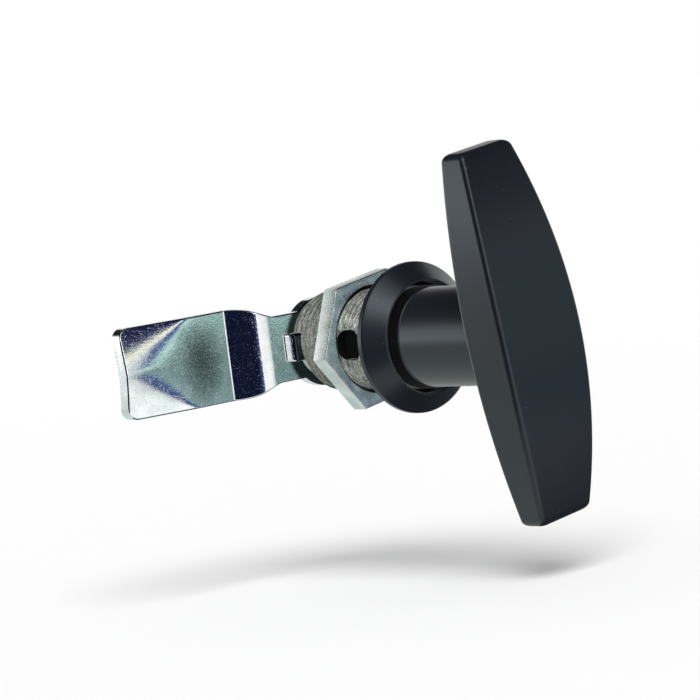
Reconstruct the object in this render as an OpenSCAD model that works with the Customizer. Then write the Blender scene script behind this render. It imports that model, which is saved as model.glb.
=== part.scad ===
// Quarter-turn latch with a T-handle, for a panel or cabinet door.
// X runs to the right seen from the handle, Y runs inward from handle to cam, Z is up.
// The origin is on the turning axis, where the flange seats on the panel.
// The latch is drawn with the cam out to the left, against the upper stop.

/* [Housing] */
// Diameter of the plain pilot next to the flange, which centres in the panel's hole
pilot_d = 22; // [21:0.1:23]
// Length of the plain pilot
pilot_l = 6; // [4:0.1:10]
// Middle diameter of the M22 x 1.5 thread, for which a plain cylinder stands
thread_d = 21.03; // [20:0.01:21.4]
// Length of the shank from the flange seat to the low part of its end
shank_l = 24.5; // [24:0.5:30]
// Height of the stop sector above the low part of the end
stop_rise = 3.8; // [3:0.1:5]
// Length over which the thread runs out at the shank's end
runout_l = 2.4; // [1:0.1:3]
// Height that the shank loses over that length
runout_drop = 0.6; // [0.3:0.1:0.8]
// Bore for the handle's sleeve and the spindle's head
bore_d = 16; // [15:0.5:17]
// Distance from the flange seat to the inner shoulder
shoulder_at = 14; // [14:0.5:16]
// Thickness of the inner shoulder
shoulder_t = 2.5; // [2:0.1:3]

/* [Flange] */
// Flange diameter
flange_d = 32.4; // [30:0.2:36]
// Thickness of the straight rim
rim_t = 1.3; // [1:0.1:2]
// Height of the flange from the seat to its crest
flange_h = 4.9; // [4.4:0.1:6]
// Outer diameter of the crest
crest_d = 24.8; // [24.6:0.1:27]
// Diameter of the recess round the handle's collar
recess_d = 24; // [23.6:0.1:24.4]
// Depth of that recess below the crest
recess_depth = 3.4; // [3:0.1:3.8]

/* [Window] */
// Width of the assembly window round the shank
window_w = 6.6; // [5:0.1:7]
// Length of the window along the shank
window_l = 7; // [6:0.1:8]
// Distance from the flange seat to the window
window_at = 6.2; // [5:0.1:7]
// Corner radius of the window
window_r = 2.6; // [1:0.1:3]

/* [Nut] */
// Nut size across flats
nut_af = 27; // [27:0.5:30]
// Nut thickness
nut_t = 4; // [3:0.5:8]
// Distance from the flange seat to the nut, where the panel goes
nut_at = 12; // [2:0.5:16]
// Turn of the nut on its thread
nut_turn = 51.1; // [0:0.1:60]
// Widening of the nut's mouth at each end
nut_countersink = 1.2; // [0.6:0.1:1.4]

/* [Handle] */
// Length of the grip bar
grip_l = 79.8; // [60:0.1:100]
// Width of the grip in the middle
grip_mid_w = 23; // [22:0.5:28]
// Width of the grip at its ends
grip_end_w = 14.4; // [10:0.1:18]
// Thickness of the grip in the middle
grip_mid_t = 11.3; // [8:0.1:14]
// Thickness of the grip at its ends
grip_end_t = 6.5; // [5:0.1:7.5]
// Radius on the grip's edges
edge_r = 1.4; // [0.8:0.1:2]
// Distance from the flange seat to the back of the grip
grip_gap = 28.1; // [24:0.1:40]
// Angle by which the grip is off square to the cam
grip_lean = 7.3; // [-10:0.1:10]
// Stem diameter
stem_d = 21.3; // [18:0.1:21.5]
// Diameter of the collar that turns in the flange recess
collar_d = 21.9; // [21.6:0.1:22.6]
// Height of the collar above the flange crest
collar_rise = 2.2; // [1:0.1:4]
// Rounding on the collar's edge
collar_r = 0.4; // [0.2:0.1:1]
// Length of sleeve wall kept beyond the cross pin
sleeve_past_pin = 1.8; // [1.2:0.1:2]

/* [Spindle] */
// Diameter of the rod that joins the handle
rod_d = 10; // [8:0.5:11]
// Length of the rod in front of the flange seat
rod_front = 12; // [6:1:20]
// Width across the square that drives the cam
square_w = 9; // [8:0.1:10]
// Diameter over the square's rounded corners
square_over_d = 12; // [11:0.1:12]
// Diameter of the cross pin
pin_d = 4; // [3:0.1:4.5]
// Distance from each end of the cross pin to the outside of the sleeve
pin_inset = 0.4; // [0.2:0.1:0.8]

/* [Seals and washers] */
// Thickness of the seal ring's section
seal_section = 1.6; // [1.2:0.1:1.8]
// Distance from the flange seat to the middle of the seal ring
seal_at = 2; // [1.5:0.1:2.5]
// Room along the groove on each side of the seal ring
groove_room = 0.3; // [0.2:0.1:0.5]
// Thickness of the thrust washer under the collar
thrust_t = 1; // [0.6:0.1:1.2]
// Thickness of the disc spring's plate
spring_t = 0.5; // [0.3:0.1:0.6]
// Height of the disc spring's cone
spring_rise = 0.4; // [0.2:0.1:0.6]

/* [Cam] */
// Thickness of the cam plate
cam_t = 3; // [2:0.5:4]
// Distance from the flange seat to the front of the cam's hub
cam_at = 29; // [28.6:0.1:34]
// Reach of the cam from the turning axis to its tip
cam_reach = 49.4; // [40:0.1:60]
// Width of the cam's tip
cam_w = 19.8; // [17:0.2:24]
// Width of the cam at its waist
waist_w = 14.6; // [13:0.2:16]
// Hub radius
hub_r = 9.8; // [9:0.1:12]
// Step of the crank, from hub to tip
crank_step = 7; // [5:0.5:12]
// Slope of the crank
crank_angle = 66; // [45:1:80]
// Distance from the axis to the start of the crank
crank_at = 15.6; // [14:0.2:18]
// Inside radius of both bends
bend_r = 1.6; // [1:0.1:3]
// Distance along the tip from the point to the start of each run-in ramp
ramp_l = 17.1; // [8:0.1:18]
// Angle by which the ramps fold back
ramp_angle = 13; // [5:1:30]
// Corner radius of the cam's tip
tip_r = 2.6; // [1:0.1:4]

/* [Stop lug] */
// Width of the stop lug
lug_w = 6; // [5:0.1:7]
// Height of the lug in front of the cam's hub
lug_h = 3.3; // [2.5:0.1:3.4]
// Distance from the axis to the lug's outer face
lug_reach = 12; // [11:0.1:13]

/* [Cam screw] */
// Diameter of the cam screw
screw_d = 6; // [5:0.5:6]
// Length of the screw's thread in the spindle
screw_grip = 12; // [8:1:13]
// Head size across flats
head_af = 10; // [8:0.5:10]
// Head height
head_h = 4; // [3:0.5:5]
// Diameter of the flat washer
washer_d = 16; // [14:0.5:18]
// Thickness of the flat washer
washer_t = 1.6; // [1:0.1:2]
// Diameter of the spring lock washer
lock_d = 11.8; // [10:0.2:12]
// Thickness of the spring lock washer
lock_t = 1.6; // [1.2:0.1:2]
// Slit in the spring lock washer
lock_slit = 1; // [0.5:0.1:2]

/* [Clearances] */
// Radial clearance of the turning parts
run_fit = 0.05; // [0.02:0.01:0.08]
// Clearance between parts that are fixed together
close_fit = 0.03; // [0.01:0.01:0.05]
// End clearance of the turning parts
end_fit = 0.05; // [0.02:0.01:0.1]
// Clearance between the lug and its stops
stop_fit = 0.05; // [0.02:0.01:0.2]

/* [Hidden] */
$fn = 96;
overlap = 1;
round_steps = 32;
grip_steps = 9;
end_angles = [30, 60, 90];
bend_steps = 8;
flare_steps = 12;
slice_t = 0.01;

// Heights along the turning axis, from the grip to the screw head
recess_floor = recess_depth - flange_h;
collar_back = recess_floor - thrust_t - end_fit;
collar_front = -flange_h - collar_rise;
shoulder_back = shoulder_at + shoulder_t;
head_front = shoulder_back + end_fit + spring_t + spring_rise + end_fit;
stop_end = shank_l + stop_rise;
cam_back = cam_at + cam_t;
washer_back = cam_back + washer_t;
lock_back = washer_back + lock_t;
pin_at = window_at + window_l / 2;
sleeve_end = pin_at + pin_d / 2 + sleeve_past_pin;

// Radii worked out from the fits
sleeve_r = bore_d / 2 - run_fit;
groove_r = sleeve_r - seal_section;
head_r = bore_d / 2 - run_fit;
lug_inner_r = bore_d / 2 + run_fit;
sleeve_bore_r = rod_d / 2 + close_fit;

// Bends of the cam's crank, seen along Z, with the reach counted towards the tip
outer_bend_r = bend_r + cam_t;
bend_rise = (outer_bend_r + bend_r) * (1 - cos(crank_angle));
slope_l = (crank_step - bend_rise) / sin(crank_angle);
crank_end = crank_at + (outer_bend_r + bend_r) * sin(crank_angle) + slope_l * cos(crank_angle);
tip_at = cam_at + crank_step;

// Colours as the photograph shows them
powder_black = [0.17, 0.19, 0.22];
bare_zinc = [0.62, 0.63, 0.58];
bright_zinc = [0.75, 0.79, 0.79];
steel = [0.6, 0.62, 0.63];
rubber_black = [0.06, 0.06, 0.06];
pale_plastic = [0.8, 0.8, 0.77];

// Puts a shape drawn up the Z axis onto the turning axis, starting at a height from the seat
module on_axis(at = 0) translate([0, at, 0]) rotate([-90, 0, 0]) children();

// Plain ring on the turning axis
module ring(at, l, outer_r, inner_r) on_axis(at) difference() {
    cylinder(h = l, r = outer_r);
    translate([0, 0, -overlap]) cylinder(h = l + 2 * overlap, r = inner_r);
}

// Rectangle with true round corners, centred
module round_rect(w, l, r) {
    square([w - 2 * r, l], center = true);
    square([w, l - 2 * r], center = true);
    for (x = [-1, 1], y = [-1, 1]) translate([x * (w / 2 - r), y * (l / 2 - r)]) circle(r);
}

// Six-sided screw head with a turned chamfer on its outer end
module hex_head(af, h) intersection() {
    corner_r = af / 2 / cos(30);
    drop = (corner_r - af / 2) * tan(30);
    cylinder(h = h, r = corner_r, $fn = 6);
    rotate_extrude() polygon([
        [0, 0], [corner_r + overlap, 0], [corner_r + overlap, h - drop - overlap * tan(30)],
        [af / 2, h], [0, h]
    ]);
}

// Flange, threaded shank, inner shoulder, assembly window and quarter-turn stop in one casting
module housing() color(bare_zinc) difference() {
    on_axis() rotate_extrude() polygon([
        [0, -flange_h], [crest_d / 2, -flange_h], [flange_d / 2, -rim_t], [flange_d / 2, 0],
        [pilot_d / 2, 0], [pilot_d / 2, pilot_l],
        [thread_d / 2, pilot_l], [thread_d / 2, stop_end - runout_l],
        [thread_d / 2 - runout_drop, stop_end], [0, stop_end]
    ]);
    on_axis(-flange_h - overlap) cylinder(h = recess_depth + overlap, d = recess_d);
    on_axis(-flange_h) cylinder(h = flange_h + shoulder_at, d = bore_d);
    on_axis(shoulder_at - overlap) cylinder(h = shoulder_t + 2 * overlap, r = rod_d / 2 + run_fit);
    on_axis(shoulder_back) cylinder(h = stop_end, d = bore_d);
    translate([-pilot_d, pin_at, 0]) rotate([0, 90, 0]) linear_extrude(pilot_d)
        round_rect(window_w, window_l, window_r);
    stop_cut();
}

// The quarter of the shank's end in which the lug swings, bounded by a flat face at each stop
module stop_cut() {
    stop_face = lug_w / 2 + stop_fit;
    translate([-thread_d, shank_l, -thread_d])
        cube([thread_d + stop_face, stop_rise + overlap, thread_d + stop_face]);
}

// Plastic washer on the floor of the recess, under the handle's collar
module thrust_washer() color(pale_plastic)
    ring(recess_floor - thrust_t, thrust_t, collar_d / 2, bore_d / 2 + close_fit);

// Thin panel nut, countersunk at both ends
module hex_nut() color(bright_zinc) on_axis(nut_at) difference() {
    bore_r = thread_d / 2 + close_fit;
    mouth_r = bore_r + nut_countersink;
    depth = nut_countersink * tan(30);
    rotate([0, 0, nut_turn]) cylinder(h = nut_t, r = nut_af / 2 / cos(30), $fn = 6);
    translate([0, 0, -overlap]) cylinder(h = nut_t + 2 * overlap, r = bore_r);
    translate([0, 0, -close_fit]) cylinder(h = depth, r1 = mouth_r, r2 = bore_r);
    translate([0, 0, nut_t + close_fit - depth]) cylinder(h = depth, r1 = bore_r, r2 = mouth_r);
}

// Half of the grip's width and its full thickness, at a share u of the half length
function grip_half_w(u) = (grip_mid_w - (grip_mid_w - grip_end_w) * u * u) / 2;
function grip_t(u) = grip_mid_t - (grip_mid_t - grip_end_t) * u * u;

// Thin slice across the grip at height z, drawn in by an inset where the end rounds over
module grip_slice(z, inset) {
    u = 2 * z / grip_l;
    w = 2 * (grip_half_w(u) - inset);
    t = grip_t(u) - 2 * inset;
    slice_r = max(edge_r - inset, edge_r / 4);
    translate([0, -grip_gap - grip_t(u) / 2, z]) linear_extrude(slice_t, center = true)
        round_rect(w, t, slice_r, $fn = round_steps);
}

// Crowned grip bar: flat back, barrel sides, rounded edges and ends
module grip_bar() hull() for (s = [-1, 1]) {
    for (i = [0:grip_steps]) grip_slice(s * i / grip_steps * (grip_l / 2 - edge_r), 0);
    for (a = end_angles) grip_slice(s * (grip_l / 2 - edge_r * (1 - sin(a))), edge_r * (1 - cos(a)));
}

// Stem, collar, sleeve and seal groove as one turned shape
module handle_stem() on_axis() rotate_extrude() union() {
    polygon([
        [0, -grip_gap - grip_end_t / 2], [stem_d / 2, -grip_gap - grip_end_t / 2],
        [stem_d / 2, collar_front + collar_r],
        [collar_d / 2, collar_front + collar_r], [collar_d / 2, collar_back],
        [sleeve_r, collar_back], [sleeve_r, seal_at - seal_section / 2 - groove_room],
        [groove_r, seal_at - seal_section / 2 - groove_room],
        [groove_r, seal_at + seal_section / 2 + groove_room],
        [sleeve_r, seal_at + seal_section / 2 + groove_room],
        [sleeve_r, sleeve_end], [0, sleeve_end]
    ]);
    translate([0, collar_front]) square([collar_d / 2 - collar_r, collar_r]);
    translate([collar_d / 2 - collar_r, collar_front + collar_r]) circle(collar_r);
}

// T-handle casting, with the bore and cross hole that take the spindle
module t_handle() color(powder_black) difference() {
    union() {
        rotate([0, -grip_lean, 0]) grip_bar();
        handle_stem();
    }
    on_axis(-rod_front - close_fit) cylinder(h = rod_front + sleeve_end + overlap, r = sleeve_bore_r);
    cross_hole();
}

// Hole for the cross pin, drilled right through
module cross_hole() translate([0, pin_at, -bore_d]) cylinder(h = 2 * bore_d, r = pin_d / 2 + close_fit);

// Rubber ring in the sleeve's groove
module stem_seal() color(rubber_black) on_axis(seal_at) rotate_extrude()
    translate([groove_r + seal_section / 2, 0]) circle(d = seal_section, $fn = round_steps);

// Steel spindle: rod, bearing head, square drive and the tapped hole for the cam screw
module spindle() color(steel) difference() {
    union() {
        on_axis(-rod_front) cylinder(h = rod_front + head_front + overlap, d = rod_d);
        on_axis(head_front) cylinder(h = cam_at - head_front, r = head_r);
        on_axis(cam_at - overlap) intersection() {
            translate([-square_w / 2, -square_w / 2, 0])
                cube([square_w, square_w, cam_t + overlap - end_fit]);
            cylinder(h = cam_t + overlap, d = square_over_d);
        }
    }
    on_axis(cam_back - screw_grip - overlap)
        cylinder(h = screw_grip + 2 * overlap, r = screw_d / 2 + close_fit);
    cross_hole();
}

// Pin that ties the spindle to the handle's sleeve, put in through the window at the other stop
module cross_pin() color(bright_zinc) {
    l = 2 * (sleeve_r - pin_inset);
    translate([0, pin_at, -l / 2]) cylinder(h = l, d = pin_d);
}

// Coned spring between the housing's shoulder and the spindle's head
module disc_spring() color(steel) on_axis(shoulder_back + end_fit) rotate_extrude() polygon([
    [rod_d / 2 + close_fit, 0], [head_r - spring_rise, spring_rise],
    [head_r - spring_rise, spring_rise + spring_t], [rod_d / 2 + close_fit, spring_t]
]);

// One arc of the cam's side view: points from angle a0 to a1 about a centre, as [reach, depth]
function bend_arc(centre, r, a0, a1) =
    [for (i = [0:bend_steps]) let (a = a0 + (a1 - a0) * i / bend_steps) centre + r * [sin(a), -cos(a)]];

// Side view of the cranked plate, as [reach, depth]
module cam_side() {
    first = [crank_at, cam_at + outer_bend_r];
    second = [crank_end, tip_at - bend_r];
    polygon(concat(
        [[-hub_r, cam_back], [-hub_r, cam_at]],
        bend_arc(first, outer_bend_r, 0, crank_angle),
        bend_arc(second, -bend_r, crank_angle, 0),
        [[cam_reach, tip_at], [cam_reach, tip_at + cam_t]],
        bend_arc(second, -outer_bend_r, 0, crank_angle),
        bend_arc(first, bend_r, crank_angle, 0)
    ));
}

// Outline of the cam seen from the front, as [reach, height]
module cam_outline() {
    flare_start = crank_at - outer_bend_r / 2;
    flare_end = crank_at + outer_bend_r;
    flare = [for (i = [0:flare_steps]) let (t = i / flare_steps, rise = (1 - cos(180 * t)) / 2)
        [flare_start + (flare_end - flare_start) * t, (waist_w + (cam_w - waist_w) * rise) / 2]];
    circle(hub_r);
    translate([0, -waist_w / 2]) square([flare_start + overlap, waist_w]);
    for (s = [0, 1]) mirror([0, s])
        polygon(concat([[flare_start, -overlap]], flare, [[flare_end, -overlap]]));
    translate([(flare_end - tip_r + cam_reach) / 2, 0]) intersection() {
        round_rect(cam_reach - flare_end + tip_r, cam_w, tip_r);
        translate([tip_r, 0]) square([cam_reach - flare_end + tip_r, cam_w], center = true);
    }
}

// Lays a drawing of [reach, height] in the plane of the plate, with thickness running inward
module lay_flat(at, t) translate([0, at, 0]) rotate([-90, 0, 0]) mirror([1, 0, 0])
    linear_extrude(t) children();

// The corner beyond one fold line, which runs from the middle of the tip to the side
module ramp_corner(s) polygon([
    [cam_reach, 0], [cam_reach - ramp_l, s * cam_w / 2],
    [cam_reach - ramp_l, s * cam_w], [cam_reach + cam_w, s * cam_w], [cam_reach + cam_w, 0]
]);

// One corner of the tip folded back about its fold line, as a run-in ramp
module folded_corner(s) {
    fold_dir = atan2(cam_w / 2, ramp_l);
    translate([-cam_reach, tip_at, 0]) rotate([0, -s * fold_dir, 0]) rotate([-s * ramp_angle, 0, 0])
        rotate([0, s * fold_dir, 0]) translate([cam_reach, -tip_at, 0])
            lay_flat(tip_at, cam_t) intersection() { cam_outline(); ramp_corner(-s); }
}

// Cranked cam plate with folded ramps, square hole and pressed stop lug
module cam() color(bright_zinc) difference() {
    union() {
        intersection() {
            translate([0, 0, -cam_w]) mirror([1, 0, 0]) linear_extrude(2 * cam_w) cam_side();
            lay_flat(cam_at - overlap, crank_step + cam_t + 2 * overlap) difference() {
                cam_outline();
                for (s = [-1, 1]) ramp_corner(s);
            }
        }
        for (s = [-1, 1]) folded_corner(s);
        stop_lug();
    }
    translate([-square_w / 2 - close_fit, cam_at - overlap, -square_w / 2 - close_fit])
        cube([square_w + 2 * close_fit, cam_t + 2 * overlap, square_w + 2 * close_fit]);
}

// Lug pressed out of the hub towards the housing, round on its outer and inner face
module stop_lug() intersection() {
    ring(cam_at - lug_h, lug_h + overlap, lug_reach, lug_inner_r);
    translate([-lug_reach - overlap, cam_at - lug_h, -lug_w / 2]) cube([lug_reach, lug_h + overlap, lug_w]);
}

// Flat washer behind the cam
module flat_washer() color(bright_zinc) ring(cam_back, washer_t, washer_d / 2, screw_d / 2 + close_fit);

// Slit spring washer under the screw head
module lock_washer() color(bright_zinc) difference() {
    ring(washer_back, lock_t, lock_d / 2, screw_d / 2 + close_fit);
    translate([0, washer_back - overlap, -lock_slit / 2]) cube([lock_d, lock_t + 2 * overlap, lock_slit]);
}

// Hexagon screw that holds the cam on the spindle
module cam_screw() color(bright_zinc) {
    on_axis(lock_back) hex_head(head_af, head_h);
    on_axis(cam_back - screw_grip) cylinder(h = screw_grip + lock_back - cam_back + overlap, d = screw_d);
}

housing();
thrust_washer();
hex_nut();
t_handle();
stem_seal();
spindle();
cross_pin();
disc_spring();
cam();
flat_washer();
lock_washer();
cam_screw();
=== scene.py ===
# %% [markdown]
# # A quarter-turn latch with a T-handle
# The latch holds a cabinet door shut: its flange seats on the door, a thin nut clamps the panel, and a
# quarter turn of the handle swings a cranked cam behind the frame. The places come from a CAD frame, in
# metres, with X to the right, Y inward from handle to cam and Z up. The steps below put finished surfaces
# and finishes on that frame. Sizes are in millimetres until a mesh is made.

import bmesh
import bpy
import numpy as np
from mathutils import Matrix, Vector


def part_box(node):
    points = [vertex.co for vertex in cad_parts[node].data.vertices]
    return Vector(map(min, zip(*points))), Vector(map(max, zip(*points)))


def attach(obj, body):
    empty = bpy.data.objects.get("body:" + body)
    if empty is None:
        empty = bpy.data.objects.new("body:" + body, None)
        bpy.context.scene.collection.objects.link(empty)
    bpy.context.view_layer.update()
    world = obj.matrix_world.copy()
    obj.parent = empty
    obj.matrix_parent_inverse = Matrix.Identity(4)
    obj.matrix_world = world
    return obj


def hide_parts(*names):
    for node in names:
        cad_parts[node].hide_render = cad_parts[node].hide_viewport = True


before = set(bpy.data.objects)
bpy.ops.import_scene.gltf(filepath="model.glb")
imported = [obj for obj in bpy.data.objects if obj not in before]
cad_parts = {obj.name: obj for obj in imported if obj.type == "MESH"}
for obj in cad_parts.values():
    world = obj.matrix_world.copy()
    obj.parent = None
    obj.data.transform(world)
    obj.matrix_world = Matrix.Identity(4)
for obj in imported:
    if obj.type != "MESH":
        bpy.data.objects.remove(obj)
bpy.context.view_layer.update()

MM = 0.001


def corners_mm(node):
    """Lowest and highest corner of a CAD node in millimetres, to a hundredth."""
    return np.round(np.array(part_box(node)) / MM, 2)


# %% [markdown]
# ## The camera
# The photograph was taken with a long lens from the left of the handle and a little above it. The camera
# could be placed by eye, but here its place was worked out from corners found in the picture, so the edges
# of the model fall close to those of the picture. The slight roll is in the camera's up direction.

# %% Camera
CAMERA_AT = np.array([-541.2, -602.0, 67.3])
CAMERA_FORWARD = np.array([0.653, 0.752, -0.084])
CAMERA_UP = np.array([0.151, -0.020, 0.988])
LENS = 195.85
NEAREST = 10


def unit(vector):
    """The vector divided by its own length."""
    vector = np.asarray(vector, float)
    return vector / np.linalg.norm(vector)


def place_camera():
    """Camera axes from the view direction: right is forward x up, and up is made square to both."""
    forward = unit(CAMERA_FORWARD)
    right = unit(np.cross(forward, CAMERA_UP))
    up = np.cross(right, forward)
    turn = Matrix(np.stack([right, up, -forward], 1)).to_4x4()
    camera = bpy.data.objects.new("camera", bpy.data.cameras.new("camera"))
    camera.matrix_world = Matrix.Translation(CAMERA_AT * MM) @ turn
    camera.data.lens = LENS
    camera.data.clip_start = NEAREST * MM
    bpy.context.collection.objects.link(camera)
    bpy.context.scene.camera = camera
    return camera


print("camera at", place_camera().location)

# %% [markdown]
# ## From a grid of points to a mesh
# Almost every piece of this latch is round or a bar, so its surface is a grid: one parameter runs round
# the piece and the other along it. A helper turns a whole array of points into quads at once. Points
# that fall together, as at a pole, are merged, and edges steeper than a limit stay crisp.

# %% Mesh from points
SHARP_DEG = 34
MERGE_M = 1e-6
SLIVER_M = 1e-7


def grid_quads(rows, columns, ring):
    """Each quad joins a point to the next in its row and in the next row. Columns always close."""
    row = np.arange(rows if ring else rows - 1)[:, None]
    column = np.arange(columns)[None, :]
    next_row = (row + 1) % rows
    next_column = (column + 1) % columns
    corners = [row * columns + column, row * columns + next_column]
    corners += [next_row * columns + next_column, next_row * columns + column]
    return np.stack(corners, -1).reshape(-1, 4)


def tidy_mesh(mesh):
    """Merges points that fall together, turns the faces outwards and marks the crisp edges."""
    shell = bmesh.new()
    shell.from_mesh(mesh)
    bmesh.ops.remove_doubles(shell, verts=shell.verts, dist=MERGE_M)
    bmesh.ops.dissolve_degenerate(shell, dist=SLIVER_M, edges=shell.edges)
    bmesh.ops.recalc_face_normals(shell, faces=shell.faces)
    shell.to_mesh(mesh)
    shell.free()
    mesh.polygons.foreach_set("use_smooth", np.ones(len(mesh.polygons), bool))
    mesh.set_sharp_from_angle(angle=np.radians(SHARP_DEG))


def make_piece(name, points, ring=False):
    """Mesh object from points in millimetres, shaped (rows, columns, 3). A ring also closes its rows."""
    rows, columns = points.shape[:2]
    faces = grid_quads(rows, columns, ring).tolist()
    if not ring:
        faces += [list(range(columns)), list(range((rows - 1) * columns, rows * columns))]
    mesh = bpy.data.meshes.new(name)
    mesh.from_pydata((points.reshape(-1, 3) * MM).tolist(), [], faces)
    tidy_mesh(mesh)
    piece = bpy.data.objects.new(name, mesh)
    bpy.context.collection.objects.link(piece)
    return piece


print("edges stay crisp above", SHARP_DEG, "degrees")

# %% [markdown]
# ## Cutting, joining and seating
# A hole whose edge crosses a thread is easier to cut than to draw, so a tool shape is taken out of a piece
# by a Boolean, and a stem is joined on in the same way. A finished piece then takes its seat: it moves with
# a body of the frame and stands for the plain CAD node there.

# %% Cut and seat
def carve(piece, tool, operation):
    """Cuts a tool out of a piece, or joins it on, for good. The tool is thrown away."""
    modifier = piece.modifiers.new(operation, "BOOLEAN")
    modifier.operation = operation
    modifier.solver = "EXACT"
    modifier.object = tool
    whole = piece.evaluated_get(bpy.context.evaluated_depsgraph_get())
    mesh = bpy.data.meshes.new_from_object(whole)
    piece.modifiers.clear()
    piece.data = mesh
    tidy_mesh(mesh)
    bpy.data.objects.remove(tool)


def seat(piece, body, slot, *nodes):
    """The piece rides on a body and stands for the CAD nodes named. Its slot argument is not used."""
    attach(piece, body)
    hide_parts(*nodes)
    print(piece.name, len(piece.data.polygons), "faces for", nodes)


# %% [markdown]
# ## Profiles and turned shapes
# A turned part is a profile swept about an axis. Real profiles have no knife edges: each corner carries a
# small radius that catches the light. So a profile is given as corners with a rounding each, and a helper
# puts an arc into every corner, with a point close to each end of the straights so that the shading of a
# flat doesn't bleed into its rounded edge.

# %% Profiles
ARC_STEPS = 6
GUARD = 0.04


def rounded(corners):
    """Closed outline whose corners (a, b, rounding) become arcs tangent to both sides.

    The arc's centre lies on the bisector at rounding / sin(half angle) from the corner.
    """
    corners = np.asarray(corners, float)
    point, rounding = corners[:, :2], corners[:, 2:]
    back = np.roll(point, 1, 0) - point
    ahead = np.roll(point, -1, 0) - point
    back /= np.linalg.norm(back, axis=1, keepdims=True)
    ahead /= np.linalg.norm(ahead, axis=1, keepdims=True)
    half = np.arccos(np.clip((back * ahead).sum(1, keepdims=True), -1, 1)) / 2
    middle = back + ahead
    middle /= np.maximum(np.linalg.norm(middle, axis=1, keepdims=True), 1e-9)
    centre = point + middle * rounding / np.sin(half)
    first = point + back * rounding / np.tan(half) - centre
    last = point + ahead * rounding / np.tan(half) - centre
    start = np.arctan2(first[:, 1], first[:, 0])
    sweep = np.arctan2(last[:, 1], last[:, 0]) - start
    sweep = (sweep + np.pi) % (2 * np.pi) - np.pi
    angle = start[:, None] + sweep[:, None] * np.linspace(0, 1, ARC_STEPS + 1)
    arcs = centre[:, None] + rounding[:, :, None] * np.stack([np.cos(angle), np.sin(angle)], -1)
    ends, starts = arcs[:, -1:], np.roll(arcs[:, :1], -1, 0)
    share = np.array([GUARD, 1 - GUARD])[None, :, None]
    return np.concatenate([arcs, ends + (starts - ends) * share], 1).reshape(-1, 2)


def whole_turn(columns):
    """Angles of one turn, without the last, which is the first again."""
    return np.linspace(0, 2 * np.pi, columns, endpoint=False)


def about_axis(radius, angle, depth):
    """Points about Y: x = r cos(a), y = depth, z = r sin(a)."""
    return np.stack(np.broadcast_arrays(radius * np.cos(angle), depth, radius * np.sin(angle)), -1)


def turned(profile, columns=128):
    """Surface of revolution of a profile of (radius, depth) points about Y."""
    radius, depth = np.asarray(profile, float).T[:, :, None]
    return about_axis(radius, whole_turn(columns), depth)


print("rounded corners have", ARC_STEPS, "steps")

# %% [markdown]
# ## Rectangles along a path
# Pressed and cast bars have a rounded rectangle for a section, and its size changes along the bar. One
# helper makes all the sections at once with the same number of points, so that they can be joined as rows
# of a grid. A plain box between two corners serves as a cutter.

# %% Rounded rectangles
def loft_rect(half_w, half_t, edge, steps=8, flat_steps=14):
    """Rounded rectangles (a, b), one for each entry of the sizes, all with the same number of points.

    Corner points are centre + edge (cos, sin), and the flats between them are filled in cosine steps.
    """
    half_w, half_t, edge = (np.asarray(v, float)[:, None] for v in (half_w, half_t, edge))
    sign_a, sign_b = np.array([1, -1, -1, 1]), np.array([1, 1, -1, -1])
    angle = np.radians(np.arange(4)[:, None] * 90 + np.linspace(0, 90, steps + 1))
    corner_a = (sign_a * (half_w - edge))[:, :, None] + edge[:, :, None] * np.cos(angle)
    corner_b = (sign_b * (half_t - edge))[:, :, None] + edge[:, :, None] * np.sin(angle)
    corner = np.stack([corner_a, corner_b], -1)
    share = (0.5 - 0.5 * np.cos(np.linspace(0, np.pi, flat_steps)))[1:-1, None]
    ends, starts = corner[:, :, -1:], np.roll(corner[:, :, :1], -1, 1)
    return np.concatenate([corner, ends + (starts - ends) * share], 2).reshape(len(half_w), -1, 2)


def block(low, high):
    """Box between two corners: a square ring in X and Z at the lowest depth and one at the highest."""
    ends = np.array([low, high], float)
    x, z = ends[[0, 1, 1, 0], 0], ends[[0, 0, 1, 1], 2]
    return np.stack(np.broadcast_arrays(x, ends[:, 1:2], z), -1)


print("a cutter of one millimetre has corners", block((0, 0, 0), (1, 1, 1)).shape)

# %% [markdown]
# ## Shader sums as Python
# A finish is a sum of patterns. Wiring each Math node by hand hides the sum, so a small class wraps a
# socket: adding or multiplying two of them adds the Math node, and any other node comes from one method.

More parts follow.
